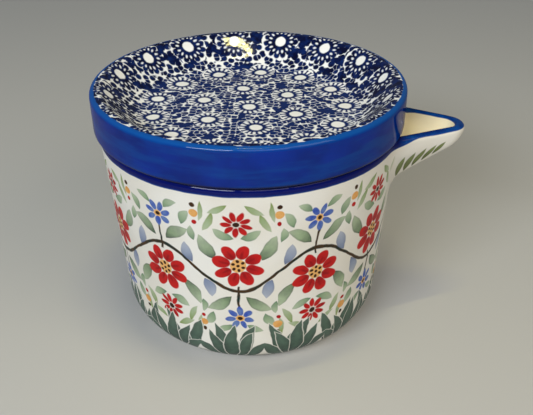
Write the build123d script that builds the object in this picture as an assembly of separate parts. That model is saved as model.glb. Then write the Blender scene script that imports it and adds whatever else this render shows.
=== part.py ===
from build123d import *
import math
import os

# Covered stoneware jar: a jar with an open pouring spout, and a loose lid with a dished top.
# Millimetres. The jar's axis is Z, the table is z = 0 and the spout points along +X.

# Jar: a straight wall that flares to a level rim
jar_height = 90.4
rim_radius = 62.0
wall_flare = 7.4            # how far the wall leans out from the table to the rim
wall = 4.6
jar_floor = 6.0
base_round = 17.5           # outside, from the wall into the foot
inside_round = 9.0          # inside, from the wall into the floor
rim_round = 1.5
rim_inside_round = 0.9

# Foot ring under the jar
foot_width = 6.5
foot_recess = 1.8
foot_slope = 1.2            # how far the recess widens on its way down
foot_round = 0.6

# Spout: an open beak drawn out of the wall, level with the rim
spout_length = 27.0         # from the rim's outer edge to the tip
flank_angle = 26.0          # each flank against the spout's middle plane
nose_radius = 7.9
channel_nose_radius = 6.4
keel_wall = 4.1             # thickness at the tip and along the keel
keel_angle = 33.5           # rise of the keel above level
keel_round = 11.5           # the keel's turn up to the tip
spout_blend = 9.0           # outside, where the spout leaves the wall
channel_blend = 3.0         # inside, where the wall turns into the channel
section_shares = (0.0, 0.2, 0.38, 0.54, 0.75, 1.0)

# Lid: a deep-sided dish that sits on the rim
lid_overhang = 1.8          # past the jar's rim at the seat
lid_flare = 0.3             # how far the side leans out above the seat
lid_rise = 16.8             # from the jar's rim to the lid's rim
lid_floor = 4.7
lid_rim_width = 4.4
lid_rim_round = 1.9
lid_edge_round = 2.2
dish_wall_width = 13.6      # seen from above, from the lid's rim to the dish's floor
dish_round = 13.0           # from the dish's floor into its sloping wall

# Locating ring under the lid
ring_depth = 7.0
ring_width = 4.6
ring_clearance = 1.0        # to the jar's mouth at the ring's lower edge
ring_round = 1.5
ring_root_round = 0.8

# Cuts run this far past the faces that they open
overrun = 2.0

flank = math.radians(flank_angle)
keel_rise = math.radians(keel_angle)
flare = wall_flare / jar_height
base_radius = rim_radius - wall_flare
spout_reach = rim_radius + spout_length
lid_seat_radius = rim_radius + lid_overhang
lid_radius = lid_seat_radius + lid_flare


def wall_radius(z):
    return base_radius + flare * z


def turned(outline, rounds):
    # Solid of revolution from an outline in radius and height, with some corners rounded
    face = make_face(Polyline(*outline, close=True))
    for (r, z), size in rounds:
        corner = face.vertices().sort_by_distance((r, z, 0))[0]
        face = fillet(corner, size)
    return revolve(Plane.XZ * face, Axis.Z)


def beak_section(z, nose, radius, back):
    # Level outline: a round nose and two flanks that run back into the jar
    touch_x = nose - radius + radius * math.sin(flank)
    touch_y = radius * math.cos(flank)
    back_y = touch_y + (touch_x - back) * math.tan(flank)
    outline = [
        Line((back, -back_y), (touch_x, -touch_y)),
        ThreePointArc((touch_x, -touch_y), (nose, 0), (touch_x, touch_y)),
        Line((touch_x, touch_y), (back, back_y)),
        Line((back, back_y), (back, -back_y)),
    ]
    return Pos(0, 0, z) * make_face(outline)


def beak(inset, radius, low_nose):
    # Sections from the rim down to where the keel, set in by inset, has run back to low_nose.
    # The keel is a straight slope with an arc that turns it upright at the rim.
    turn = keel_round - inset
    centre = spout_reach - keel_round
    arc_drop = turn * math.cos(keel_rise)
    arc_nose = centre + turn * math.sin(keel_rise)
    depth = arc_drop + (arc_nose - low_nose) * math.tan(keel_rise)
    back = low_nose - wall
    sections = []
    for share in section_shares:
        drop = depth * share
        if drop < arc_drop:
            nose = centre + math.sqrt(turn * turn - drop * drop)
        else:
            nose = arc_nose - (drop - arc_drop) / math.tan(keel_rise)
        sections.append(beak_section(jar_height - drop, nose, radius, back))
    return sections


def make_jar():
    # The outer corner's rounding ends on the foot's flat, so the ring is measured from there
    upright = math.pi / 2 - math.atan(flare)
    foot_outer = base_radius - base_round * math.tan(upright / 2)
    foot_inner = foot_outer - foot_width
    recess = foot_inner - foot_slope
    body = turned(
        [
            (0, foot_recess),
            (recess, foot_recess),
            (foot_inner, 0),
            (base_radius, 0),
            (rim_radius, jar_height),
            (0, jar_height),
        ],
        [
            ((recess, foot_recess), foot_round),
            ((foot_inner, 0), foot_round),
            ((base_radius, 0), base_round),
        ],
    )
    spout = loft(beak(0, nose_radius, base_radius))
    outside = body + spout
    outside = fillet(new_edges(body, spout, combined=outside), spout_blend)

    top = jar_height + overrun
    floor_radius = wall_radius(jar_floor) - wall
    mouth = turned(
        [
            (0, jar_floor),
            (floor_radius, jar_floor),
            (wall_radius(top) - wall, top),
            (0, top),
        ],
        [((floor_radius, jar_floor), inside_round)],
    )
    sections = beak(keel_wall, channel_nose_radius, base_radius - wall)
    channel = loft(sections) + extrude(sections[0], overrun, dir=(0, 0, 1))
    hollow = mouth + channel
    hollow = fillet(new_edges(mouth, channel, combined=hollow), channel_blend)

    jar = outside - hollow
    rim = jar.faces().sort_by(Axis.Z)[-1]
    jar = fillet(rim.outer_wire().edges(), rim_round)
    rim = jar.faces().sort_by(Axis.Z)[-1]
    return fillet(rim.inner_wires()[0].edges(), rim_inside_round)


def make_lid():
    seat = jar_height
    top = seat + lid_rise
    dish = seat + lid_floor
    rim_inner = lid_radius - lid_rim_width
    dish_floor_radius = rim_inner - dish_wall_width
    ring_low = seat - ring_depth
    ring_outer = wall_radius(ring_low) - wall - ring_clearance
    ring_inner = ring_outer - ring_width
    return turned(
        [
            (0, seat),
            (ring_inner, seat),
            (ring_inner, ring_low),
            (ring_outer, ring_low),
            (ring_outer, seat),
            (lid_seat_radius, seat),
            (lid_radius, top),
            (rim_inner, top),
            (dish_floor_radius, dish),
            (0, dish),
        ],
        [
            ((ring_inner, seat), ring_root_round),
            ((ring_inner, ring_low), ring_round),
            ((ring_outer, ring_low), ring_round),
            ((ring_outer, seat), ring_root_round),
            ((lid_seat_radius, seat), lid_edge_round),
            ((lid_radius, top), lid_rim_round),
            ((rim_inner, top), lid_rim_round),
            ((dish_floor_radius, dish), dish_round),
        ],
    )


os.makedirs("parts", exist_ok=True)
export_step(make_jar(), "parts/jar.step")
export_step(make_lid(), "parts/lid.step")
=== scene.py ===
import bmesh
import bpy
import math
import numpy as np
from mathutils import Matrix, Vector


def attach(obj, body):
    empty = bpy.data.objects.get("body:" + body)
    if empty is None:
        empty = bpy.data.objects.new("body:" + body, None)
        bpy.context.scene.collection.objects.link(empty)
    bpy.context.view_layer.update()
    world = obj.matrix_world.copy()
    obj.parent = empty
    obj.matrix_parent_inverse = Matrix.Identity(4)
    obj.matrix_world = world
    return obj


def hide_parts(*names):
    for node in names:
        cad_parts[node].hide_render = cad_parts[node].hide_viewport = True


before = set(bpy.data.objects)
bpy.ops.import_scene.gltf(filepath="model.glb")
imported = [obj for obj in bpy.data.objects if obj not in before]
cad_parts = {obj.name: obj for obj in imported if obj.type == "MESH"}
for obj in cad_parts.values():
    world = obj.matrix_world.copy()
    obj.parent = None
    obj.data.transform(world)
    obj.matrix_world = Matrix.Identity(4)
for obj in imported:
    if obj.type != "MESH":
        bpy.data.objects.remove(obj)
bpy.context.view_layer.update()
mm = 0.001
perMetre = 1000.0
fullTurn = 2.0 * math.pi
levelSlack = 0.02  # mm, for finding the rows that lie on a flat


# Node building: every value may be a number or a socket
def plug(tree, socket, value):
    if isinstance(value, bpy.types.NodeSocket):
        tree.links.new(value, socket)
    else:
        socket.default_value = value


def calc(tree, operation, *values, clamp=False):
    node = tree.nodes.new("ShaderNodeMath")
    node.operation = operation
    node.use_clamp = clamp
    for socket, value in zip(node.inputs, values):
        plug(tree, socket, value)
    return node.outputs[0]


def span(tree, a, b):  # the long side of a right angle
    return calc(tree, "SQRT", calc(tree, "MULTIPLY_ADD", a, a, calc(tree, "MULTIPLY", b, b)))


def lerp(tree, mask, low, high):
    return calc(tree, "MULTIPLY_ADD", mask, calc(tree, "SUBTRACT", high, low), low)


def ramp(tree, value, low, high):  # smooth step from 0 at low to 1 at high
    node = tree.nodes.new("ShaderNodeMapRange")
    node.interpolation_type = "SMOOTHSTEP"
    plug(tree, node.inputs["Value"], value)
    plug(tree, node.inputs["From Min"], min(low, high))
    plug(tree, node.inputs["From Max"], max(low, high))
    if low > high:
        node.inputs["To Min"].default_value = 1.0
        node.inputs["To Max"].default_value = 0.0
    return node.outputs["Result"]


def edge(tree, depth, blur):  # depth in mm, positive inside a mark, to a mask with a soft border
    return calc(tree, "MULTIPLY_ADD", depth, 1.0 / blur, 0.5, clamp=True)


def disc(tree, reach, radius, blur):  # mask of a round dot, by the distance from its middle
    return edge(tree, calc(tree, "SUBTRACT", radius, reach), blur)


def brush(tree, under, colour, mask, strength=1.0):  # lays a colour over another by a mask
    if strength != 1.0:
        mask = calc(tree, "MULTIPLY", mask, strength)
    node = tree.nodes.new("ShaderNodeMix")
    node.data_type = "RGBA"
    sockets = {s.identifier: s for s in node.inputs}
    plug(tree, sockets["Factor_Float"], mask)
    plug(tree, sockets["A_Color"], under)
    plug(tree, sockets["B_Color"], colour)
    return next(s for s in node.outputs if s.identifier == "Result_Color")


def pigment(red, green, blue):  # 0 to 255 as on a screen, to the renderer's linear colour
    linear = [((c / 255 + 0.055) / 1.055) ** 2.4 if c > 10 else c / 3295 for c in (red, green, blue)]
    return (*linear, 1.0)


def cloudy(tree, place, scale, detail=2.0, rough=0.5):
    node = tree.nodes.new("ShaderNodeTexNoise")
    plug(tree, node.inputs["Vector"], place)
    node.inputs["Scale"].default_value = scale
    node.inputs["Detail"].default_value = detail
    node.inputs["Roughness"].default_value = rough
    return node


def unsteady(tree, place, scale):  # three noises, for marks that a hand set down
    split = tree.nodes.new("ShaderNodeSeparateColor")
    plug(tree, split.inputs[0], cloudy(tree, place, scale).outputs["Color"])
    return split.outputs


def cells(tree, place, spacing):
    node = tree.nodes.new("ShaderNodeTexVoronoi")
    node.voronoi_dimensions = "2D"
    plug(tree, node.inputs["Vector"], place)
    node.inputs["Scale"].default_value = perMetre / spacing
    node.inputs["Randomness"].default_value = 0.85
    return node


def dappled(tree, place, spacing, gap, small, large):
    # Rounded patches of several sizes, parted by thin lines, as depth inside a patch
    lined = cells(tree, place, spacing)
    lined.feature = "DISTANCE_TO_EDGE"
    lines = calc(tree, "MULTIPLY_ADD", lined.outputs["Distance"], spacing, -gap)
    dotted = cells(tree, place, spacing)
    chance = tree.nodes.new("ShaderNodeSeparateColor")
    plug(tree, chance.inputs[0], dotted.outputs["Color"])
    size = calc(tree, "MULTIPLY_ADD", chance.outputs[0], large - small, small)
    dots = calc(tree, "MULTIPLY_ADD", dotted.outputs["Distance"], -spacing, size)
    return calc(tree, "MINIMUM", lines, dots)


def polar(tree, place):  # millimetres, the distance from the axis and the angle round it
    split = tree.nodes.new("ShaderNodeSeparateXYZ")
    plug(tree, split.inputs[0], place)
    x, y, z = [calc(tree, "MULTIPLY", side, perMetre) for side in split.outputs]
    return x, y, z, span(tree, x, y), calc(tree, "ARCTAN2", y, x)


def sectors(tree, theta, count, shift):  # the sector's number, and the angle from its middle
    turn = calc(tree, "MULTIPLY_ADD", theta, count / fullTurn, shift)
    number = calc(tree, "ROUND", turn)
    return number, calc(tree, "MULTIPLY", calc(tree, "SUBTRACT", turn, number), fullTurn / count)


def petals(tree, u, v, count, inner, outer, halfWidth, twist=0.0):
    # Oval petals round a middle, as depth inside them; also gives the distance from the middle
    reach = span(tree, u, v)
    swing = calc(tree, "MULTIPLY_ADD", calc(tree, "ARCTAN2", v, u), count / fullTurn, twist)
    swing = calc(tree, "SUBTRACT", calc(tree, "FRACT", swing), 0.5)
    swing = calc(tree, "MULTIPLY", swing, fullTurn / count)
    out = calc(tree, "MULTIPLY", reach, calc(tree, "COSINE", swing))
    side = calc(tree, "MULTIPLY", reach, calc(tree, "SINE", swing))
    half = (outer - inner) / 2
    out = calc(tree, "MULTIPLY_ADD", out, 1 / half, -(outer + inner) / 2 / half)
    oval = span(tree, out, calc(tree, "MULTIPLY", side, 1 / halfWidth))
    return calc(tree, "MULTIPLY_ADD", oval, -halfWidth, halfWidth), reach


def leaf(tree, u, v, at, slope, length, halfWidth):
    # A pointed, slightly bent leaf, as depth inside it; also gives the place along it, -1 to 1
    c, s = math.cos(math.radians(slope)), math.sin(math.radians(slope))
    along = calc(tree, "MULTIPLY_ADD", u, c, calc(tree, "MULTIPLY_ADD", v, s, -at[0] * c - at[1] * s))
    across = calc(tree, "MULTIPLY_ADD", u, -s, calc(tree, "MULTIPLY_ADD", v, c, at[0] * s - at[1] * c))
    along = calc(tree, "MULTIPLY", along, 2 / length)
    square = calc(tree, "MULTIPLY", along, along)
    across = calc(tree, "MULTIPLY_ADD", square, halfWidth * 0.35, across)
    fat = calc(tree, "MULTIPLY_ADD", square, -halfWidth, halfWidth)
    return calc(tree, "SUBTRACT", fat, calc(tree, "ABSOLUTE", across)), along


# Clear gloss of both pieces: all of it in the coat, with the slight waves of a fired surface
glazeFinish = {
    "ior": 1.5, "specular": 0.0, "coat": 0.4, "coatRough": 0.035,
    "waveScale": 95.0, "waveDetail": 3.0, "waveStrength": 0.12, "waveHeight": 0.0006,
}


def glaze(name, paintIt, *measures):
    material = bpy.data.materials.new(name)
    material.use_nodes = True
    tree = material.node_tree
    shader = tree.nodes["Principled BSDF"]
    place = tree.nodes.new("ShaderNodeTexCoord").outputs["Object"]
    colour, rough = paintIt(tree, place, *measures)
    plug(tree, shader.inputs["Base Color"], colour)
    plug(tree, shader.inputs["Roughness"], rough)
    g = glazeFinish
    shader.inputs["IOR"].default_value = g["ior"]
    shader.inputs["Specular IOR Level"].default_value = g["specular"]
    shader.inputs["Coat Weight"].default_value = g["coat"]
    shader.inputs["Coat Roughness"].default_value = g["coatRough"]
    waves = tree.nodes.new("ShaderNodeBump")
    waves.inputs["Strength"].default_value = g["waveStrength"]
    waves.inputs["Distance"].default_value = g["waveHeight"]
    plug(tree, waves.inputs["Height"], cloudy(tree, place, g["waveScale"], g["waveDetail"]).outputs["Fac"])
    plug(tree, shader.inputs["Normal"], waves.outputs["Normal"])
    plug(tree, shader.inputs["Coat Normal"], waves.outputs["Normal"])
    print(name, "nodes:", len(tree.nodes))
    return material


# Turned shapes: a line of corners, rounded and cut into rows, then spun round the axis
def turnedShape(corners, columns):
    # corners: radius, height, rounding, steps of the rounding, cuts on the way to the next corner
    bm = bmesh.new()
    alongLayer = bm.verts.layers.float.new("along")
    points = [Vector((corner[0] * mm, 0, corner[1] * mm)) for corner in corners]
    made = [bm.verts.new(point) for point in points]
    for pair in zip(made, made[1:]):
        bm.edges.new(pair)
    trims = [0.0] * len(corners)
    for i in range(1, len(corners) - 1):
        rounding, steps = corners[i][2:4]
        if rounding:
            bend = (points[i] - points[i - 1]).angle(points[i + 1] - points[i])
            trims[i] = rounding * mm * math.tan(bend / 2)
            bmesh.ops.bevel(bm, geom=[made[i]], offset=trims[i], offset_type="OFFSET", affect="VERTICES",
                            segments=steps, profile=0.5, material=-1, clamp_overlap=False)
    for i, corner in enumerate(corners[:-1]):
        way = (points[i + 1] - points[i]).normalized()
        middle = (points[i] + way * trims[i] + points[i + 1] - way * trims[i + 1]) / 2
        run = min(bm.edges, key=lambda e: ((e.verts[0].co + e.verts[1].co) / 2 - middle).length)
        if corner[4]:
            bmesh.ops.subdivide_edges(bm, edges=[run], cuts=corner[4])

    # Walk along the line, to know each row by its distance from the start
    here = min(bm.verts, key=lambda v: (v.co - points[0]).length)
    profile, seen, walked = [], set(), 0.0
    while here:
        seen.add(here)
        here[alongLayer] = walked
        profile.append((here.co.x / mm, here.co.z / mm, walked))
        ahead = [e.other_vert(here) for e in here.link_edges if e.other_vert(here) not in seen]
        if ahead:
            walked += (ahead[0].co - here.co).length / mm
        here = ahead[0] if ahead else None
    bmesh.ops.spin(bm, geom=bm.verts[:] + bm.edges[:], cent=(0, 0, 0), axis=(0, 0, 1), angle=fullTurn,
                   steps=columns, use_merge=True)
    bmesh.ops.remove_doubles(bm, verts=bm.verts[:], dist=1e-6)
    bmesh.ops.recalc_face_normals(bm, faces=bm.faces[:])
    return bm, np.array(profile)


def turnsOf(face, turnLayer):  # a face's angles round the axis as shares of a turn, without the jump at 1
    turns = [loop.vert[turnLayer] for loop in face.loops]
    if max(turns) - min(turns) > 0.5:
        turns = [t + 1 if t < 0.5 else t for t in turns]
    return turns


def onDisc(turn, reach, centre, scale):  # a point of a disc on the map
    angle = turn * fullTurn
    return centre[0] + reach * scale * math.cos(angle), centre[1] + reach * scale * math.sin(angle)


def layMap(bm, layout, ends, last, shares, lengths, scale):
    # Both ends of the turned line lie as discs, and the band between them in two strips;
    # lengths say how far round the band each share of a turn reaches
    uvLayer = bm.loops.layers.uv.new("OFBake")
    turnLayer, alongLayer = bm.verts.layers.float["turn"], bm.verts.layers.float["along"]
    startCentre, startRadius = layout["startDisc"]
    endCentre, endRadius = layout["endDisc"]
    for face in bm.faces:
        turns = turnsOf(face, turnLayer)
        walks = [loop.vert[alongLayer] for loop in face.loops]
        where = sum(walks) / len(walks)
        upper = sum(turns) / len(turns) > 0.5
        for loop, turn, walk in zip(face.loops, turns, walks):
            if where < ends[0]:
                spot = onDisc(turn, walk, startCentre, startRadius / ends[0])
            elif where > ends[1]:
                spot = onDisc(turn, last - walk, endCentre, endRadius / (last - ends[1]))
            else:
                run = np.interp(turn, shares, lengths) - (lengths[-1] / 2 if upper else 0)
                strip = layout["strips"][1 if upper else 0]
                spot = (layout["left"] + run * scale, strip + (walk - ends[0]) * scale)
            loop[uvLayer].uv = spot


def finishPiece(bm, name, body, node, material):
    mesh = bpy.data.meshes.new(name)
    for face in bm.faces:
        face.smooth = True
    bm.to_mesh(mesh)
    bm.free()
    piece = bpy.data.objects.new(name, mesh)
    bpy.context.collection.objects.link(piece)
    mesh.materials.append(material)
    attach(piece, body)
    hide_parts(node)
    print(name, "faces:", len(mesh.polygons))


# Jar, in millimetres and degrees; a leaf is its place, slope, length and half width
jar = {
    "height": 90.4, "rimRadius": 62.0, "flare": 7.4, "wall": 4.6, "floor": 6.0,
    "baseRound": 17.5, "insideRound": 9.0, "rimRound": 2.3, "rimInsideRound": 0.9,
    "footOuter": 38.47, "footWidth": 6.5, "footRecess": 1.8, "footSlope": 1.2, "footRound": 0.6,
    "spoutLength": 27.0, "flankAngle": 26.0, "noseRadius": 7.9, "channelNoseRadius": 6.4,
    "keelWall": 4.1, "keelAngle": 33.5, "keelRound": 11.5, "spoutRoot": 50.0, "spoutSpread": 60.0,
    "blendAtRim": 3.3, "blendBelow": 4.8, "blendFrom": 79.0, "channelBlend": 1.5,
    "rayReach": (30.0, 96.0), "raySteps": 44,  # where the spout's surface is looked for
    "columns": 336, "crowding": 0.24,  # the lower, the more the columns crowd to the spout
    "map": {
        "startDisc": ((0.90, 0.90), 0.085), "endDisc": ((0.14, 0.90), 0.085),
        "left": 0.03, "strips": (0.012, 0.415), "width": 0.93, "pastRim": 3.2, "girthAt": 83.0,
    },
    "colours": {
        "clay": pigment(232, 230, 224), "clayShade": pigment(218, 211, 196),
        # the inside's cream is brighter and warmer than the outside's: partly its glaze, partly painted
        # warm reflected light
        "bare": pigment(188, 156, 116), "inside": pigment(255, 242, 206),
        # the darkest blue here is painted shade, for the band just under the lid's edge
        "cobalt": pigment(0, 12, 92), "cobaltThin": pigment(8, 70, 148), "seatShadeBlue": pigment(2, 10, 44),
        "red": pigment(190, 26, 26), "redDeep": pigment(140, 10, 18),
        # greenMid is darkened, partly as painted shade on the border near the foot
        "green": pigment(74, 112, 84), "greenDeep": pigment(14, 42, 38), "greenMid": pigment(62, 98, 80),
        "sage": pigment(134, 166, 116), "olive": pigment(112, 134, 46), "oliveDeep": pigment(70, 76, 22),
        "blue": pigment(48, 78, 172), "blueGrey": pigment(112, 136, 176), "blueDeep": pigment(62, 84, 128),
        "brown": pigment(50, 26, 14), "vine": pigment(72, 48, 26),
        "ochre": pigment(226, 172, 104), "ochreDeep": pigment(206, 136, 62),
    },
    "vine": {
        "sectors": 12, "level": 52.0, "sway": 8.6, "halfWidth": 0.66, "slant": 0.78,
        "stemHalfWidth": 0.48, "stemMiddle": 10.5, "stemHalf": 11.5,
    },
    "leaves": (  # groups of one wash: two colours, strength, leaves
        ("green", "sage", 0.95, (
            ((11.4, 23.8), 62, 7.6, 1.8),
            ((14.0, 17.4), 96, 6.6, 1.6),
            ((6.0, 28.4), 28, 7.2, 1.6),
            ((5.4, -17.6), -24, 8.6, 1.9),
        )),
        ("olive", "sage", 0.95, (
            ((6.6, -28.6), 30, 8.4, 1.3),
            ((10.4, -23.0), 64, 9.4, 1.4),
            ((13.2, -27.6), 82, 9.0, 1.0),
        )),
        ("blueDeep", "blueGrey", 0.9, (
            ((11.0, 7.8), 105, 9.4, 2.3),
        )),
        ("greenDeep", "sage", 0.98, (
            ((7.2, 15.8), 36, 12.4, 2.5),
            ((12.2, -11.2), -60, 12.6, 2.7),
        )),
    ),
    "smallFlowers": (  # colours, height over the vine, petals (how many, from, to, half width, turn), eyes
        ("blue", "blueGrey", 22.4, (7, 1.5, 5.9, 1.25, 0.2), (("ochre", 1.6), ("brown", 0.95))),
        ("red", "redDeep", -22.8, (9, 1.5, 5.8, 1.05, 0.1), (("brown", 1.2),)),
    ),
    "roundFlower": {
        "below": 3.6, "ground": 9.6, "petals": (8, 3.2, 10.2, 2.45), "veins": (8, 3.0, 7.0, 0.5),
        "heart": 3.1, "seeds": (6, 1.35, 2.85, 0.62), "midSeed": 0.66,
    },
    "berries": (  # colours, distance from the vine's level, radius
        ("ochre", "ochreDeep", 26.4, 1.75),
        ("brown", "vine", 30.0, 0.95),
        ("red", "redDeep", 22.6, 0.95),
    ),
    "border": (  # layers of fans: how many, shift, leaves in mirrored pairs, leaves that stand alone
        (16, 0.1, (((4.4, 25.0), 76, 23.0, 2.7),), (((0.0, 20.0), 90, 18.0, 2.7),)),
        (13, 0.4, (((8.4, 18.4), 54, 19.0, 2.6), ((4.5, 21.4), 69, 22.0, 2.7)),
         (((0.0, 23.4), 86, 24.0, 3.0),)),
    ),
    "borderShade": (18.5, 13.5), "borderFoot": (13.8, 12.6),  # up the surface from the foot's edge
    "sprig": (  # on each flank of the spout
        ((62.4, 74.6), 80, 13.0, 1.3),
        ((66.0, 76.6), 74, 12.6, 1.3),
        ((69.8, 78.6), 66, 11.6, 1.2),
        ((73.8, 80.4), 58, 10.0, 1.1),
        ((77.8, 82.4), 50, 7.8, 1.0),
    ),
    "spoutFront": (0.36, 0.27), "spoutUnder": (54.0, 57.0),  # no pattern: within an angle, over a height
    "bandLow": (86.7, 89.1), "bandInside": (0.9, 2.8),  # on the wall and on the spout
    "seatShadeZone": (89.2, 89.9),  # heights over which the cobalt darkens as painted shade under the lid
    "standsBelow": (0.75, 0.35), "standsFrom": (29.5, 31.0),  # bare foot: below a height, past a radius
    "wobble": 120.0, "wash": (250.0, 4.0, 0.6), "cloud": (40.0, 2.0),  # noises: scale, detail, roughness
    "roughness": (0.2, 0.75),  # glazed and bare
}


def wallRadius(z):
    return jar["rimRadius"] - jar["flare"] * (1 - z / jar["height"])


def crowded(angle):  # columns stand closer together near the spout
    even, share = jar["crowding"], angle / np.pi
    return np.pi * (even * share + (1 - even) * share ** 3)


def spoutDepth(x, y, z, inset, noseRadius, back):
    # Distance out of the spout, level by level: a round nose and two flanks behind it
    rise, flank = math.radians(jar["keelAngle"]), math.radians(jar["flankAngle"])
    bend = jar["keelRound"] - inset
    middle = jar["rimRadius"] + jar["spoutLength"] - jar["keelRound"]
    drop = jar["height"] - z
    root = np.sqrt(np.maximum(bend * bend - drop * drop, 1e-6))
    arcDrop, arcNose = bend * math.cos(rise), middle + bend * math.sin(rise)
    inArc = drop < arcDrop
    nose = np.where(inArc, middle + root, arcNose - (drop - arcDrop) / math.tan(rise))
    lean = np.where(inArc, drop / root, 1 / math.tan(rise))
    dx, dy = x - (nose - noseRadius), np.abs(y)
    far = np.hypot(dx, dy)
    onNose = dy * math.sin(flank) < dx * math.cos(flank)
    depth = np.where(onNose, far, dx * math.sin(flank) + dy * math.cos(flank)) - noseRadius
    facing = np.where(onNose, dx / np.maximum(far, 1e-6), math.sin(flank))
    return np.maximum(depth / np.sqrt(1 + (facing * lean) ** 2), back - x)


def blended(a, b, width):  # the nearer of two surfaces, with the corner between them rounded out
    h = np.maximum(width - np.abs(a - b), 0) / width
    return np.minimum(a, b) - h * h * width / 4


def spoutRadius(angle, z, depth, inside):
    # How far out the surface lies along each ray from the axis, with the spout drawn out of the wall
    if inside:
        wall, inset, nose = jar["wall"], jar["keelWall"], jar["channelNoseRadius"]
        width = np.full_like(z, jar["channelBlend"])
    else:
        wall, inset, nose = 0.0, 0.0, jar["noseRadius"]
        width = np.interp(z, (jar["blendFrom"], jar["height"]), (jar["blendBelow"], jar["blendAtRim"]))
    back = wallRadius(0.0) - wall - jar["wall"]
    low, high = [np.full_like(z, reach) for reach in jar["rayReach"]]
    for _ in range(jar["raySteps"]):
        r = (low + high) / 2
        x, y = r * np.cos(angle), r * np.sin(angle)
        surface = blended(r - wallRadius(z) + wall, spoutDepth(x, y, z, inset, nose, back), width)
        low, high = np.where(surface > depth, low, r), np.where(surface > depth, r, high)
    return (low + high) / 2


def makeJar():
    s, layout = jar, jar["map"]
    footInner = s["footOuter"] - s["footWidth"]
    floorRadius = wallRadius(s["floor"]) - s["wall"]
    split = s["spoutRoot"]
    bm, profile = turnedShape([
        (0, s["footRecess"], 0, 0, 4),
        (footInner - s["footSlope"], s["footRecess"], s["footRound"], 2, 0),
        (footInner, 0, s["footRound"], 2, 2),
        (wallRadius(0.0), 0, s["baseRound"], 12, 10),
        (wallRadius(split), split, 0, 0, 44),
        (s["rimRadius"], s["height"], s["rimRound"], 6, 0),
        (s["rimRadius"] - s["wall"], s["height"], s["rimInsideRound"], 6, 44),
        (wallRadius(split) - s["wall"], split, 0, 0, 9),
        (floorRadius, s["floor"], s["insideRound"], 8, 7),
        (0, s["floor"], 0, 0, 0),
    ], s["columns"])
    r, z, along = profile.T
    footEdge = along[np.max(np.nonzero((z < levelSlack) & (r > s["footOuter"] - 1))[0])]
    top = np.nonzero(z > s["height"] - levelSlack)[0]
    rimOut, rimIn = along[top[0]], along[top[-1]]
    print("jar rows:", len(profile), "rim at", round(rimOut, 1), round(rimIn, 1))

    # Spout: rows near it are pulled out to the blended surface, outside and inside
    bm.verts.ensure_lookup_table()
    alongLayer = bm.verts.layers.float["along"]
    walked = np.array([v[alongLayer] for v in bm.verts])
    place = np.array([v.co for v in bm.verts]) / mm
    level, reach = place[:, 2], np.hypot(place[:, 0], place[:, 1])
    angle = np.arctan2(place[:, 1], place[:, 0])
    turned = crowded(angle)
    near = (level > s["spoutRoot"]) & (np.abs(turned) < math.radians(s["spoutSpread"]))
    for inside in (False, True):
        pick = near & ((walked > (rimOut + rimIn) / 2) == inside)
        wall = wallRadius(level[pick]) - (s["wall"] if inside else 0.0)
        reach[pick] = spoutRadius(turned[pick], level[pick], reach[pick] - wall, inside)
    place[:, 0], place[:, 1] = reach * np.cos(turned), reach * np.sin(turned)

    turnLayer = bm.verts.layers.float.new("turn")
    pastLayer = bm.verts.layers.float.new("pastRim")
    bm.verts.ensure_lookup_table()
    for vert, p, a, w in zip(bm.verts, place, angle, walked):
        vert.co = Vector(p) * mm
        vert[turnLayer] = (a / fullTurn) % 1.0
        vert[pastLayer] = w - rimIn

    # Map: the strips are as long as the way round the jar and its spout
    shares = np.linspace(0, 1, s["columns"] + 1)
    rays = crowded(np.where(shares > 0.5, shares - 1, shares) * fullTurn)
    girth = spoutRadius(rays, np.full(len(rays), layout["girthAt"]), np.zeros(len(rays)), False)
    steps = np.hypot(np.diff(girth * np.cos(rays)), np.diff(girth * np.sin(rays)))
    lengths = np.concatenate([[0], np.cumsum(steps)])
    scale = layout["width"] / (lengths[-1] / 2)
    layMap(bm, layout, (footEdge, rimIn + layout["pastRim"]), along[-1], shares, lengths, scale)
    painted = glaze("jarPainted", paintJar, float(rimIn - footEdge))
    finishPiece(bm, "jarGlazed", "jar", "jar", painted)


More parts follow.
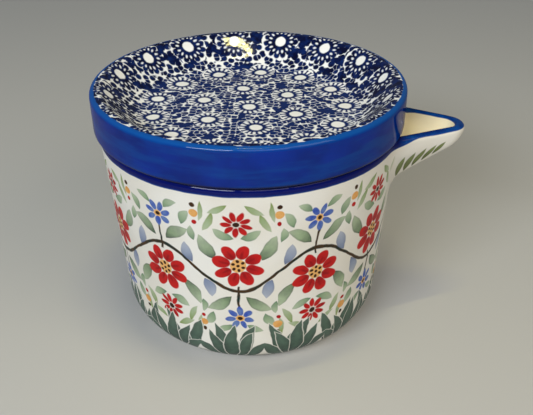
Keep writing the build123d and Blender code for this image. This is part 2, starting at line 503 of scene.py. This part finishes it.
def paintJar(tree, place, rimToFoot):
    # A running vine with round flowers, small flowers and leaves, over a border of leaf fans
    k, vine, flower = jar["colours"], jar["vine"], jar["roundFlower"]
    x, _, z, far, theta = polar(tree, place)
    attribute = tree.nodes.new("ShaderNodeAttribute")
    attribute.attribute_name = "pastRim"
    past = attribute.outputs["Fac"]
    wobble = unsteady(tree, place, jar["wobble"])
    wash = cloudy(tree, place, *jar["wash"]).outputs["Fac"]
    streak = ramp(tree, wash, 0.32, 0.68)
    dark = calc(tree, "MULTIPLY", streak, 0.75)
    cloud = ramp(tree, cloudy(tree, place, *jar["cloud"]).outputs["Fac"], 0.3, 0.7)
    clay = brush(tree, k["clay"], k["clayShade"], cloud, 0.5)

    def repeats(count, shift):  # sector number, and the distance from the sector's middle along the wall
        number, angle = sectors(tree, theta, count, shift)
        return number, calc(tree, "MULTIPLY", angle, far)

    def shaken(value, channel, size):  # moves a mark by the hand's unsteadiness
        return calc(tree, "MULTIPLY_ADD", wobble[channel], size, calc(tree, "SUBTRACT", value, size / 2))

    def strokes(colour, marks, first, second, strength=0.98, halo=0.0, core=1.0, fade=0.16):
        # Leaves in one wash: darker at the foot and along the border, thin where the brush ran dry
        blur = 0.35
        depth, tone = marks[0]
        for other, share in marks[1:]:
            tone = lerp(tree, calc(tree, "GREATER_THAN", other, depth), tone, share)
            depth = calc(tree, "MAXIMUM", depth, other)
        shade = calc(tree, "MULTIPLY_ADD", tone, 0.30, calc(tree, "MULTIPLY_ADD", wash, 1.1, -0.22))
        shade = calc(tree, "MULTIPLY_ADD", ramp(tree, depth, 0.0, core), 0.30, shade, clamp=True)
        ink = brush(tree, k[first], k[second], shade)
        if halo:
            colour = brush(tree, colour, clay, edge(tree, calc(tree, "ADD", depth, halo), blur))
        thin = calc(tree, "MULTIPLY_ADD", tone, -fade, strength - fade, clamp=True)
        return brush(tree, colour, ink, calc(tree, "MULTIPLY", edge(tree, depth, blur), thin))

    # Sectors of the vine: u along the wall, v up it, turned over in every second sector
    number, u = repeats(vine["sectors"], 0.0)
    flip = calc(tree, "MULTIPLY_ADD", calc(tree, "FLOORED_MODULO", number, 2.0), -2.0, 1.0)
    u = shaken(u, 0, 2.4)
    v = calc(tree, "MULTIPLY", shaken(calc(tree, "SUBTRACT", z, vine["level"]), 1, 2.4), flip)
    pair = calc(tree, "ABSOLUTE", u)
    chance = tree.nodes.new("ShaderNodeTexWhiteNoise")  # turns each round flower its own way
    chance.noise_dimensions = "1D"
    plug(tree, chance.inputs["W"], calc(tree, "ADD", number, 20.5))
    twist = chance.outputs["Value"]

    # Vine and stems
    wave = calc(tree, "COSINE", calc(tree, "MULTIPLY", theta, vine["sectors"] / 2))
    off = calc(tree, "MULTIPLY_ADD", wave, calc(tree, "MULTIPLY", flip, -vine["sway"]), v)
    line = calc(tree, "MULTIPLY_ADD", calc(tree, "ABSOLUTE", off), -vine["slant"], vine["halfWidth"])
    stem = calc(tree, "SUBTRACT", vine["stemHalfWidth"], calc(tree, "ABSOLUTE", shaken(u, 2, 3.0)))
    off = calc(tree, "ABSOLUTE", calc(tree, "SUBTRACT", v, vine["stemMiddle"]))
    stem = calc(tree, "MINIMUM", stem, calc(tree, "SUBTRACT", vine["stemHalf"], off))
    bark = brush(tree, k["vine"], k["greenDeep"], streak)
    colour = brush(tree, clay, bark, edge(tree, calc(tree, "MAXIMUM", line, stem), 0.35))

    # Leaves, each pair mirrored about the sector's middle
    for first, second, strength, group in jar["leaves"]:
        marks = [leaf(tree, pair, v, *blade) for blade in group]
        colour = strokes(colour, marks, first, second, strength)

    # Small blue flower above the vine, small red one under the round flower
    for first, second, rise, shape, eyes in jar["smallFlowers"]:
        bloom, reach = petals(tree, u, calc(tree, "SUBTRACT", v, rise), *shape)
        colour = brush(tree, colour, brush(tree, k[first], k[second], dark), edge(tree, bloom, 0.3))
        for ink, radius in eyes:
            colour = brush(tree, colour, k[ink], disc(tree, reach, radius, 0.3))

    # Round flower
    v = calc(tree, "ADD", v, flower["below"])
    bloom, reach = petals(tree, u, v, *flower["petals"], twist)
    vein, _ = petals(tree, u, v, *flower["veins"], twist)
    seeds, _ = petals(tree, u, v, *flower["seeds"], twist)
    seeds = calc(tree, "MAXIMUM", seeds, calc(tree, "SUBTRACT", flower["midSeed"], reach))
    red = brush(tree, k["red"], k["redDeep"], calc(tree, "MULTIPLY", dark, ramp(tree, reach, 9.8, 4.5)))
    colour = brush(tree, colour, clay, disc(tree, reach, flower["ground"], 0.4))
    colour = brush(tree, colour, red, edge(tree, bloom, 0.32))
    colour = brush(tree, colour, k["redDeep"], edge(tree, vein, 0.5), 0.8)
    colour = brush(tree, colour, k["ochre"], disc(tree, reach, flower["heart"], 0.35))
    colour = brush(tree, colour, k["brown"], edge(tree, seeds, 0.25))

    # Berries between the small flowers
    _, u = repeats(vine["sectors"], 0.5)
    u = shaken(u, 1, 2.6)
    away = calc(tree, "ABSOLUTE", shaken(calc(tree, "SUBTRACT", z, vine["level"]), 0, 2.0))
    for first, second, at, radius in jar["berries"]:
        reach = span(tree, u, calc(tree, "SUBTRACT", away, at))
        colour = brush(tree, colour, brush(tree, k[first], k[second], dark), disc(tree, reach, radius, 0.3))

    # Border of leaf fans round the foot in two layers, measured up the surface from the foot's edge
    low = shaken(calc(tree, "ADD", past, rimToFoot), 0, 3.6)
    # darker towards the foot: a dark green wash, partly the border's ground and partly painted shade
    colour = brush(tree, colour, k["greenDeep"], ramp(tree, low, *jar["borderShade"]), 0.85)
    for count, shift, pairs, singles in jar["border"]:
        _, u = repeats(count, shift)
        u = shaken(u, 2, 2.8)
        pair = calc(tree, "ABSOLUTE", u)
        blades = [leaf(tree, pair, low, *blade) for blade in pairs]
        blades += [leaf(tree, u, low, *blade) for blade in singles]
        for blade in blades:
            colour = strokes(colour, [blade], "greenDeep", "greenMid", halo=0.3, core=3.0, fade=0.03)
    colour = brush(tree, colour, clay, ramp(tree, low, *jar["borderFoot"]))

    # Spout: the wall's pattern stops short of it, and a sprig runs out along each flank
    wall = calc(tree, "MULTIPLY_ADD", z, jar["flare"] / jar["height"], wallRadius(0.0))
    bulge = calc(tree, "SUBTRACT", far, wall)
    onSpout = ramp(tree, bulge, 0.5, 1.6)
    inFront = ramp(tree, calc(tree, "ABSOLUTE", theta), *jar["spoutFront"])
    under = calc(tree, "MULTIPLY", inFront, ramp(tree, z, *jar["spoutUnder"]))
    colour = brush(tree, colour, clay, calc(tree, "MAXIMUM", onSpout, under))
    blades = [leaf(tree, x, z, *blade) for blade in jar["sprig"]]
    colour = brush(tree, colour, strokes(clay, blades, "oliveDeep", "olive", fade=0.05), onSpout)

    # Cobalt on the rim, with painted shade darkening it just under the lid; cream inside, bare clay where
    # it stands
    line = lerp(tree, ramp(tree, bulge, 1.0, 9.0), *jar["bandLow"])
    inner = lerp(tree, ramp(tree, bulge, 1.0, 6.0), *jar["bandInside"])
    band = calc(tree, "SUBTRACT", shaken(z, 2, 0.7), line)
    band = calc(tree, "MINIMUM", band, calc(tree, "SUBTRACT", inner, shaken(past, 1, 0.6)))
    thin = calc(tree, "MULTIPLY", lerp(tree, streak, 0.3, 1.0), ramp(tree, bulge, 1.0, 4.0))
    cobalt = brush(tree, k["cobalt"], k["cobaltThin"], thin)
    cobalt = brush(tree, cobalt, k["cobaltThin"], ramp(tree, band, 0.9, 0.1), 0.6)
    # painted shade: the band darkens just under the lid's edge, but not on the spout
    seatShadeZone = calc(tree, "MULTIPLY", ramp(tree, z, *jar["seatShadeZone"]), ramp(tree, bulge, 2.0, 0.5))
    cobalt = brush(tree, cobalt, k["seatShadeBlue"], seatShadeZone)
    # inside: clay mixed toward a brighter, warmer cream, partly as painted reflected light
    colour = brush(tree, colour, brush(tree, clay, k["inside"], 0.85), edge(tree, past, 0.6))
    colour = brush(tree, colour, cobalt, edge(tree, band, 0.3))
    stands = ramp(tree, far, *jar["standsFrom"])
    stands = calc(tree, "MULTIPLY", ramp(tree, z, *jar["standsBelow"]), stands)
    colour = brush(tree, colour, brush(tree, k["bare"], k["clayShade"], dark), stands)
    return colour, lerp(tree, stands, *jar["roughness"])


# Lid, in millimetres; petals are how many, from, to, half width; rings are how many, radius, phase
lid = {
    "seat": 90.4, "seatRadius": 63.8, "radius": 64.1, "rise": 16.8, "floor": 4.7, "rimWidth": 4.4,
    "rimRound": 1.9, "edgeRound": 2.2, "dishWallWidth": 13.6, "dishRound": 13.0,
    "ringOuter": 55.827, "ringWidth": 4.6, "ringDepth": 7.0, "ringRound": 1.5, "ringRoot": 0.8,
    "columns": 200,
    "map": {
        "startDisc": ((0.385, 0.61), 0.37), "endDisc": ((0.88, 0.35), 0.1),
        "left": 0.02, "strips": (0.015, 0.105), "scale": 0.00475,
    },
    "colours": {
        "cream": pigment(253, 254, 255), "creamShade": pigment(241, 240, 238),
        "bare": pigment(198, 172, 138),
        "ink": pigment(4, 9, 46), "inkBlue": pigment(14, 44, 112),
        "inkWorn": pigment(14, 42, 108), "inkBleed": pigment(64, 112, 186),
        "side": pigment(0, 42, 140), "sideDeep": pigment(0, 31, 112), "sideTeal": pigment(0, 58, 136),
        # the darkest blue here is painted shade on the side's rounded lower edge
        "rim": pigment(14, 84, 164), "seatShadeBlue": pigment(3, 10, 44),
    },
    "floorRings": ((13, 39.8, -0.154), (6, 20.6, -0.7), (1, 0.0, 0.0)),
    "floorFlower": {"petals": (16, 4.2, 7.0, 0.68), "eye": 2.75, "size": 6.45, "border": 6.6},
    "wallRing": (16, 56.6, 0.467),
    "wallFlower": {
        "petals": (15, 4.2, 5.9, 0.5), "eye": 2.45,
        "scallops": (15, 5.4, 8.2, 1.3), "size": 6.4, "fringe": 8.1,
    },
    "wallStretch": 1.25, "wallFrom": (45.8, 46.8),
    "patches": (2.6, 0.13, 1.2, 1.75), "dots": (3.0, 0.05, 1.15, 1.75),  # spacing, gap, radius from and to
    "clumps": 14.0, "floorClumps": -8.1, "wallClumps": -7.9,
    "dotsMeet": (50.0, 56.0), "inkThins": (47.5, 45.0),  # by the distance from the axis
    "rimLine": 62.1,
    # the rim's lighter top is partly thin glaze, partly a painted highlight
    "rimThinAndHighlight": (105.2, 106.8), "seatShadeZone": (92.3, 91.2),  # heights, also of the next two
    "under": (90.8, 90.5), "ringBare": (84.1, 83.6),
    "wobble": 260.0, "cloud": (55.0, 3.0), "streak": (300.0, 3.0, 0.6),  # noises: scale, detail, roughness
    "lumps": (190.0, 1.0), "bend": (420.0, 1.0), "bendBy": 0.0014, "brushed": (110.0, 3.0, 0.6),
    "unroll": (0.053, 0.0013),  # metres per radian round the wall and per mm up it
    "roughness": (0.18, 0.75),  # glazed and bare
}


def makeLid():
    s = lid
    top, dish = s["seat"] + s["rise"], s["seat"] + s["floor"]
    rimInner = s["radius"] - s["rimWidth"]
    ringLow, ringInner = s["seat"] - s["ringDepth"], s["ringOuter"] - s["ringWidth"]
    bm, profile = turnedShape([
        (0, dish, 0, 0, 12),
        (rimInner - s["dishWallWidth"], dish, s["dishRound"], 9, 8),
        (rimInner, top, s["rimRound"], 5, 0),
        (s["radius"], top, s["rimRound"], 6, 6),
        (s["seatRadius"], s["seat"], s["edgeRound"], 5, 2),
        (s["ringOuter"], s["seat"], s["ringRoot"], 3, 2),
        (s["ringOuter"], ringLow, s["ringRound"], 4, 0),
        (ringInner, ringLow, s["ringRound"], 4, 2),
        (ringInner, s["seat"], s["ringRoot"], 3, 8),
        (0, s["seat"], 0, 0, 0),
    ], s["columns"])
    r, z, along = profile.T
    sideTop = along[np.argmax(r)]
    sideLow = along[np.nonzero((along > sideTop) & (z < s["seat"] + levelSlack))[0][0]]
    print("lid rows:", len(profile))
    turnLayer = bm.verts.layers.float.new("turn")
    for vert in bm.verts:
        vert[turnLayer] = (math.atan2(vert.co.y, vert.co.x) / fullTurn) % 1.0
    girth = fullTurn * s["radius"]
    layMap(bm, s["map"], (sideTop, sideLow), along[-1], (0, 1), (0, girth), s["map"]["scale"])
    finishPiece(bm, "lidGlazed", "lid", "lid", glaze("lidPainted", paintLid))


def paintLid(tree, place):
    # Stamped blue and cream flowers in rings, on blue patches parted by thin cream lines
    k = lid["colours"]
    x, y, z, far, theta = polar(tree, place)
    wobble = unsteady(tree, place, lid["wobble"])
    shakeU = calc(tree, "MULTIPLY_ADD", wobble[0], 1.3, -0.65)
    shakeV = calc(tree, "MULTIPLY_ADD", wobble[1], 1.3, -0.65)
    cloud = ramp(tree, cloudy(tree, place, *lid["cloud"]).outputs["Fac"], 0.3, 0.7)
    streak = ramp(tree, cloudy(tree, place, *lid["streak"]).outputs["Fac"], 0.35, 0.7)
    lumps = cloudy(tree, place, *lid["lumps"]).outputs["Fac"]

    def lumpy(size, shift):  # clumps where the stamp's marks run together
        return calc(tree, "MULTIPLY_ADD", lumps, size, shift)

    def ringOf(count, radius, phase, stretch=1.0):  # places across and out from a flower's middle
        _, angle = sectors(tree, theta, count, phase)
        u = calc(tree, "MULTIPLY_ADD", far, calc(tree, "SINE", angle), shakeU)
        v = calc(tree, "SUBTRACT", calc(tree, "MULTIPLY", far, calc(tree, "COSINE", angle)), radius)
        return u, calc(tree, "MULTIPLY_ADD", v, stretch, shakeV)

    def stamped(u, v, flower):  # ink's depth round a cream eye and cream petals, distance from the middle
        petal, reach = petals(tree, u, v, *flower["petals"])
        ring = calc(tree, "SUBTRACT", reach, flower["eye"])
        return calc(tree, "MINIMUM", calc(tree, "MULTIPLY", petal, -1.0), ring), reach

    # Field: patches on the floor, loose dots up the wall's foot that run together towards the rim
    bent = tree.nodes.new("ShaderNodeVectorMath")
    bent.operation = "MULTIPLY_ADD"
    plug(tree, bent.inputs[0], cloudy(tree, place, *lid["bend"]).outputs["Color"])
    bent.inputs[1].default_value = [lid["bendBy"]] * 3
    plug(tree, bent.inputs[2], place)
    patches = dappled(tree, bent.outputs["Vector"], *lid["patches"])
    patches = calc(tree, "MAXIMUM", patches, lumpy(lid["clumps"], lid["floorClumps"]))
    unrolled = tree.nodes.new("ShaderNodeCombineXYZ")
    turn = calc(tree, "ARCTAN2", x, y)  # its seam lies at the front
    plug(tree, unrolled.inputs[0], calc(tree, "MULTIPLY", turn, lid["unroll"][0]))
    plug(tree, unrolled.inputs[1], calc(tree, "MULTIPLY", far, lid["unroll"][1]))
    dots = dappled(tree, unrolled.outputs[0], *lid["dots"])
    dots = calc(tree, "MULTIPLY_ADD", ramp(tree, far, *lid["dotsMeet"]), 0.34, dots)
    dots = calc(tree, "MAXIMUM", dots, lumpy(lid["clumps"], lid["wallClumps"]))

    # Flowers of the dish's wall, each on a scalloped ground with a cream fringe
    flower = lid["wallFlower"]
    u, v = ringOf(*lid["wallRing"], lid["wallStretch"])
    ink, reach = stamped(u, v, flower)
    scallop, _ = petals(tree, u, v, *flower["scallops"])
    ground = calc(tree, "MAXIMUM", scallop, calc(tree, "SUBTRACT", flower["size"], reach))
    apart = calc(tree, "ADD", calc(tree, "SUBTRACT", reach, flower["fringe"]), lumpy(7.0, -3.5))
    onWall = calc(tree, "MINIMUM", ground, ink)
    onWall = calc(tree, "MAXIMUM", onWall, calc(tree, "MINIMUM", dots, apart))
    wallMask = ramp(tree, calc(tree, "ADD", far, shakeU), *lid["wallFrom"])
    field = lerp(tree, wallMask, patches, onWall)

    # Flowers of the dish's floor, each with a broken cream line round it
    flower = lid["floorFlower"]
    for ring in lid["floorRings"]:
        ink, reach = stamped(*ringOf(*ring), flower)
        border = calc(tree, "ABSOLUTE", calc(tree, "SUBTRACT", reach, flower["border"]))
        border = calc(tree, "ADD", border, lumpy(3.0, -1.75))
        inside = calc(tree, "LESS_THAN", reach, flower["size"])
        field = lerp(tree, inside, calc(tree, "MINIMUM", field, border), ink)

    # Ink on cream: thinner on the floor, and its blue runs a little into the glaze
    cream = brush(tree, k["cream"], k["creamShade"], cloud, 0.5)
    ink = brush(tree, k["ink"], k["inkBlue"], streak, 0.7)
    ink = brush(tree, ink, k["inkWorn"], ramp(tree, far, *lid["inkThins"]), 0.6)
    colour = brush(tree, cream, k["inkBleed"], edge(tree, calc(tree, "ADD", field, 0.2), 0.7), 0.4)
    colour = brush(tree, colour, ink, edge(tree, field, 0.35))

    # Solid blue rim and side, lighter on the rim's top where the glaze runs thin and as a painted
    # highlight, darkened as painted shade on the lower edge; cream underneath, bare on the ring's lower
    # edge
    drawn = tree.nodes.new("ShaderNodeVectorMath")
    drawn.operation = "MULTIPLY"
    plug(tree, drawn.inputs[0], place)
    drawn.inputs[1].default_value = (0.3, 0.3, 2.0)
    brushed = cloudy(tree, drawn.outputs["Vector"], *lid["brushed"]).outputs["Fac"]
    side = brush(tree, k["side"], k["sideDeep"], cloud)
    side = brush(tree, side, k["sideTeal"], ramp(tree, brushed, 0.42, 0.68), 0.8)
    # the rim's top is lighter: partly thin glaze, partly a painted highlight
    side = brush(tree, side, k["rim"], ramp(tree, z, *lid["rimThinAndHighlight"]), 0.8)
    # painted shade: the side darkens on its rounded lower edge, over the jar
    side = brush(tree, side, k["seatShadeBlue"], ramp(tree, z, *lid["seatShadeZone"]), 0.85)
    hand = calc(tree, "ADD", far, calc(tree, "SUBTRACT", wobble[2], 0.5))
    colour = brush(tree, colour, side, edge(tree, calc(tree, "SUBTRACT", hand, lid["rimLine"]), 0.35))
    colour = brush(tree, colour, cream, ramp(tree, z, *lid["under"]))
    stands = ramp(tree, z, *lid["ringBare"])
    colour = brush(tree, colour, brush(tree, k["bare"], k["creamShade"], streak), stands)
    return colour, lerp(tree, stands, *lid["roughness"])


# Studio: pale floor, a cool window, the room in front, a small lamp overhead and a warm one on the right
studio = {
    "floor": (0.56, 0.56, 0.55, 1.0), "floorRough": 0.6, "floorSize": 2.5,
    "air": (0.80, 0.85, 0.92, 1.0), "airStrength": 0.235,
    "lights": (  # name, place, size, power, colour
        ("window", (-0.36, -0.84, 0.64), (0.52, 0.22), 6.9, (0.92, 0.97, 1.0)),
        ("room", (0.24, -0.85, 0.69), (0.56, 0.30), 1.8, (1.0, 0.93, 0.88)),
        ("overhead", (0.045, -0.111, 0.90), (0.23, 0.013), 1.0, (1.0, 0.89, 0.34)),
        ("warm", (0.46, -0.36, 0.58), (0.35, 0.35), 1.1, (1.0, 0.82, 0.50)),
    ),
    "aim": (0.0, 0.0, 0.055), "camera": (0.0282, -0.3061, 0.2260), "look": (0.0084, -0.0218, 0.0598),
    "sensor": 36.0, "lens": 54.03, "roll": -0.008,
}


def pointed(name, data, at, target):  # a lamp or camera that looks at a point
    holder = bpy.data.objects.new(name, data)
    holder.location = at
    holder.rotation_euler = (Vector(target) - Vector(at)).to_track_quat("-Z", "Y").to_euler()
    bpy.context.scene.collection.objects.link(holder)
    return holder


def makeStudio():
    scene = bpy.context.scene
    bm = bmesh.new()
    bmesh.ops.create_grid(bm, x_segments=8, y_segments=8, size=studio["floorSize"])
    mesh = bpy.data.meshes.new("floor")
    bm.to_mesh(mesh)
    bm.free()
    floor = bpy.data.objects.new("floor", mesh)
    scene.collection.objects.link(floor)
    material = bpy.data.materials.new("floorPale")
    material.use_nodes = True
    shader = material.node_tree.nodes["Principled BSDF"]
    shader.inputs["Base Color"].default_value = studio["floor"]
    shader.inputs["Roughness"].default_value = studio["floorRough"]
    mesh.materials.append(material)
    world = bpy.data.worlds.new("air")
    world.use_nodes = True
    background = world.node_tree.nodes["Background"]
    background.inputs["Color"].default_value = studio["air"]
    background.inputs["Strength"].default_value = studio["airStrength"]
    scene.world = world
    for name, at, size, power, colour in studio["lights"]:
        lamp = bpy.data.lights.new(name, "AREA")
        lamp.shape = "RECTANGLE"
        lamp.size, lamp.size_y = size
        lamp.energy = power
        lamp.color = colour
        pointed(name, lamp, at, studio["aim"])
    lens = bpy.data.cameras.new("photoView")
    lens.sensor_width = studio["sensor"]
    lens.lens = studio["lens"]
    camera = pointed("photoView", lens, studio["camera"], studio["look"])
    camera.rotation_euler.rotate_axis("Z", studio["roll"])
    scene.camera = camera
    scene.view_settings.view_transform = "Standard"
    print("studio ready")


makeJar()
makeLid()
makeStudio()
bpy.context.view_layer.update()
